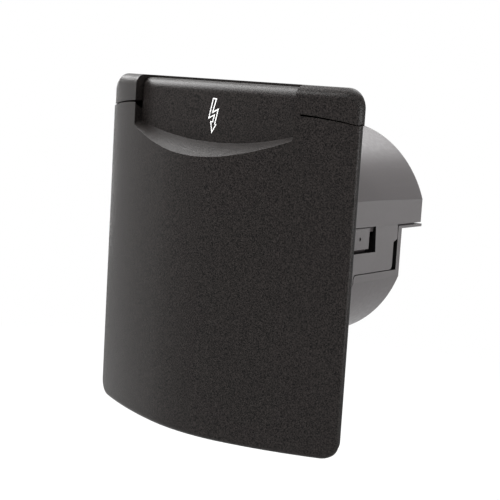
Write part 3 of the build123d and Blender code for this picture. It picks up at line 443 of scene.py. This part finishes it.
camera_data.clip_start = CAMERA_NEAR
camera = bpy.data.objects.new("camera", camera_data)
bpy.context.scene.collection.objects.link(camera)
camera.matrix_world = Matrix.Translation(CAMERA_TARGET + CAMERA_DISTANCE * back) @ Matrix(
    (right, up, back)
).transposed().to_4x4()
bpy.context.scene.camera = camera
bpy.context.scene.view_settings.view_transform = "Standard"


# Studio lamps: soft boxes round the object, named by where they stand or what they do.
# The key box is the strongest, and the rim box lights the right edge of the lid.
def soft_box(name, place, width, height, watts):
    """Rectangular lamp at place that looks at the object. All lengths are in metres."""
    lamp_data = bpy.data.lights.new(name, "AREA")
    lamp_data.shape = "RECTANGLE"
    lamp_data.size = width
    lamp_data.size_y = height
    lamp_data.energy = watts
    lamp = bpy.data.objects.new(name, lamp_data)
    bpy.context.scene.collection.objects.link(lamp)
    aim = (CAMERA_TARGET - Vector(place)).to_track_quat("-Z", "Y")
    lamp.matrix_world = Matrix.Translation(place) @ aim.to_matrix().to_4x4()


soft_box("left_box", place=(-0.9, 0.42, -0.05), width=0.1, height=0.9, watts=2.4)
soft_box("key_box", place=(-0.65, -0.1, 0.75), width=0.7, height=0.8, watts=24)
soft_box("front_top_box", place=(-0.08, -0.68, 0.7), width=0.4, height=0.1, watts=8)
soft_box("top_box", place=(0.1, 0.25, 0.95), width=0.5, height=0.5, watts=4)
soft_box("right_box", place=(0.6, 0.75, -0.08), width=0.3, height=0.3, watts=0.7)
soft_box("back_box", place=(-0.15, 0.75, 0.62), width=0.5, height=0.3, watts=1.9)
soft_box("rim_box", place=(0.97, 0.0, -0.1), width=0.2, height=0.6, watts=9)
soft_box("fill_box", place=(0.68, -0.55, 0.65), width=0.5, height=0.5, watts=1)


# Surroundings: white to the camera, in reflections and through clear material.
# To all other rays they are a dim pale grey that lights the object softly from every side.
WHITE = (1, 1, 1, 1)
SOFT_COLOUR = (0.9, 0.9, 0.9, 1)
SOFT_STRENGTH = 0.3


def seen_rays(tree):
    """Node that gives 1 to rays that the camera sees, reflected or clear ones too, and else 0."""
    rays = tree.nodes.new("ShaderNodeLightPath")
    camera_or_glossy = tree.nodes.new("ShaderNodeMath")
    camera_or_glossy.operation = "MAXIMUM"
    link_nodes(tree, rays, "Is Camera Ray", camera_or_glossy, 0)
    link_nodes(tree, rays, "Is Glossy Ray", camera_or_glossy, 1)
    any_seen = tree.nodes.new("ShaderNodeMath")
    any_seen.operation = "MAXIMUM"
    link_nodes(tree, camera_or_glossy, "Value", any_seen, 0)
    link_nodes(tree, rays, "Is Transmission Ray", any_seen, 1)
    return any_seen


world = bpy.data.worlds.new("studio_light")
bpy.context.scene.world = world
world.use_nodes = True
sky = world.node_tree
soft_field = sky.nodes["Background"]
soft_field.inputs["Color"].default_value = SOFT_COLOUR
soft_field.inputs["Strength"].default_value = SOFT_STRENGTH
white_field = sky.nodes.new("ShaderNodeBackground")
white_field.inputs["Color"].default_value = WHITE
field_mix = sky.nodes.new("ShaderNodeMixShader")
link_nodes(sky, seen_rays(sky), "Value", field_mix, "Fac")
link_nodes(sky, soft_field, "Background", field_mix, 1)
link_nodes(sky, white_field, "Background", field_mix, 2)
link_nodes(sky, field_mix, "Shader", sky.nodes["World Output"], "Surface")


# Floor: a wide plain sheet below the object, which fades to white away from it.
# Near the object its own grey paint shows in part, so that the shadow on it can be seen.
FLOOR_Z = -0.16
FLOOR_HALF = 2.5
FLOOR_COLOUR = (0.5, 0.5, 0.5, 1)
FLOOR_ROUGHNESS = 0.9
SHADOW_NEAR = 0.3
SHADOW_FAR = 0.6
SHADOW_CLEAR = 0.55
floor_shape = bmesh.new()
bmesh.ops.create_grid(floor_shape, x_segments=1, y_segments=1, size=FLOOR_HALF)
bmesh.ops.translate(floor_shape, verts=floor_shape.verts, vec=(0, 0, FLOOR_Z))
floor_mesh = bpy.data.meshes.new("floor")
floor_shape.to_mesh(floor_mesh)
floor_shape.free()
floor = bpy.data.objects.new("floor", floor_mesh)
bpy.context.scene.collection.objects.link(floor)
floor_paint = bpy.data.materials.new("floor_paint")
floor_paint.use_nodes = True
paint = floor_paint.node_tree
painted = paint.nodes["Principled BSDF"]
painted.inputs["Base Color"].default_value = FLOOR_COLOUR
painted.inputs["Roughness"].default_value = FLOOR_ROUGHNESS
glow = paint.nodes.new("ShaderNodeEmission")
glow.inputs["Color"].default_value = WHITE

floor_place = paint.nodes.new("ShaderNodeTexCoord")
floor_distance = paint.nodes.new("ShaderNodeVectorMath")
floor_distance.operation = "LENGTH"
link_nodes(paint, floor_place, "Object", floor_distance, "Vector")
clear_share = paint.nodes.new("ShaderNodeMapRange")
clear_share.inputs["From Min"].default_value = SHADOW_NEAR
clear_share.inputs["From Max"].default_value = SHADOW_FAR
clear_share.inputs["To Min"].default_value = SHADOW_CLEAR
clear_share.inputs["To Max"].default_value = 1.0
link_nodes(paint, floor_distance, "Value", clear_share, "Value")

glow_share = paint.nodes.new("ShaderNodeMath")
glow_share.operation = "MULTIPLY"
link_nodes(paint, seen_rays(paint), "Value", glow_share, 0)
link_nodes(paint, clear_share, "Result", glow_share, 1)
glow_mix = paint.nodes.new("ShaderNodeMixShader")
link_nodes(paint, glow_share, "Value", glow_mix, "Fac")
link_nodes(paint, painted, "BSDF", glow_mix, 1)
link_nodes(paint, glow, "Emission", glow_mix, 2)
link_nodes(paint, glow_mix, "Shader", paint.nodes["Material Output"], "Surface")
floor_mesh.materials.append(floor_paint)
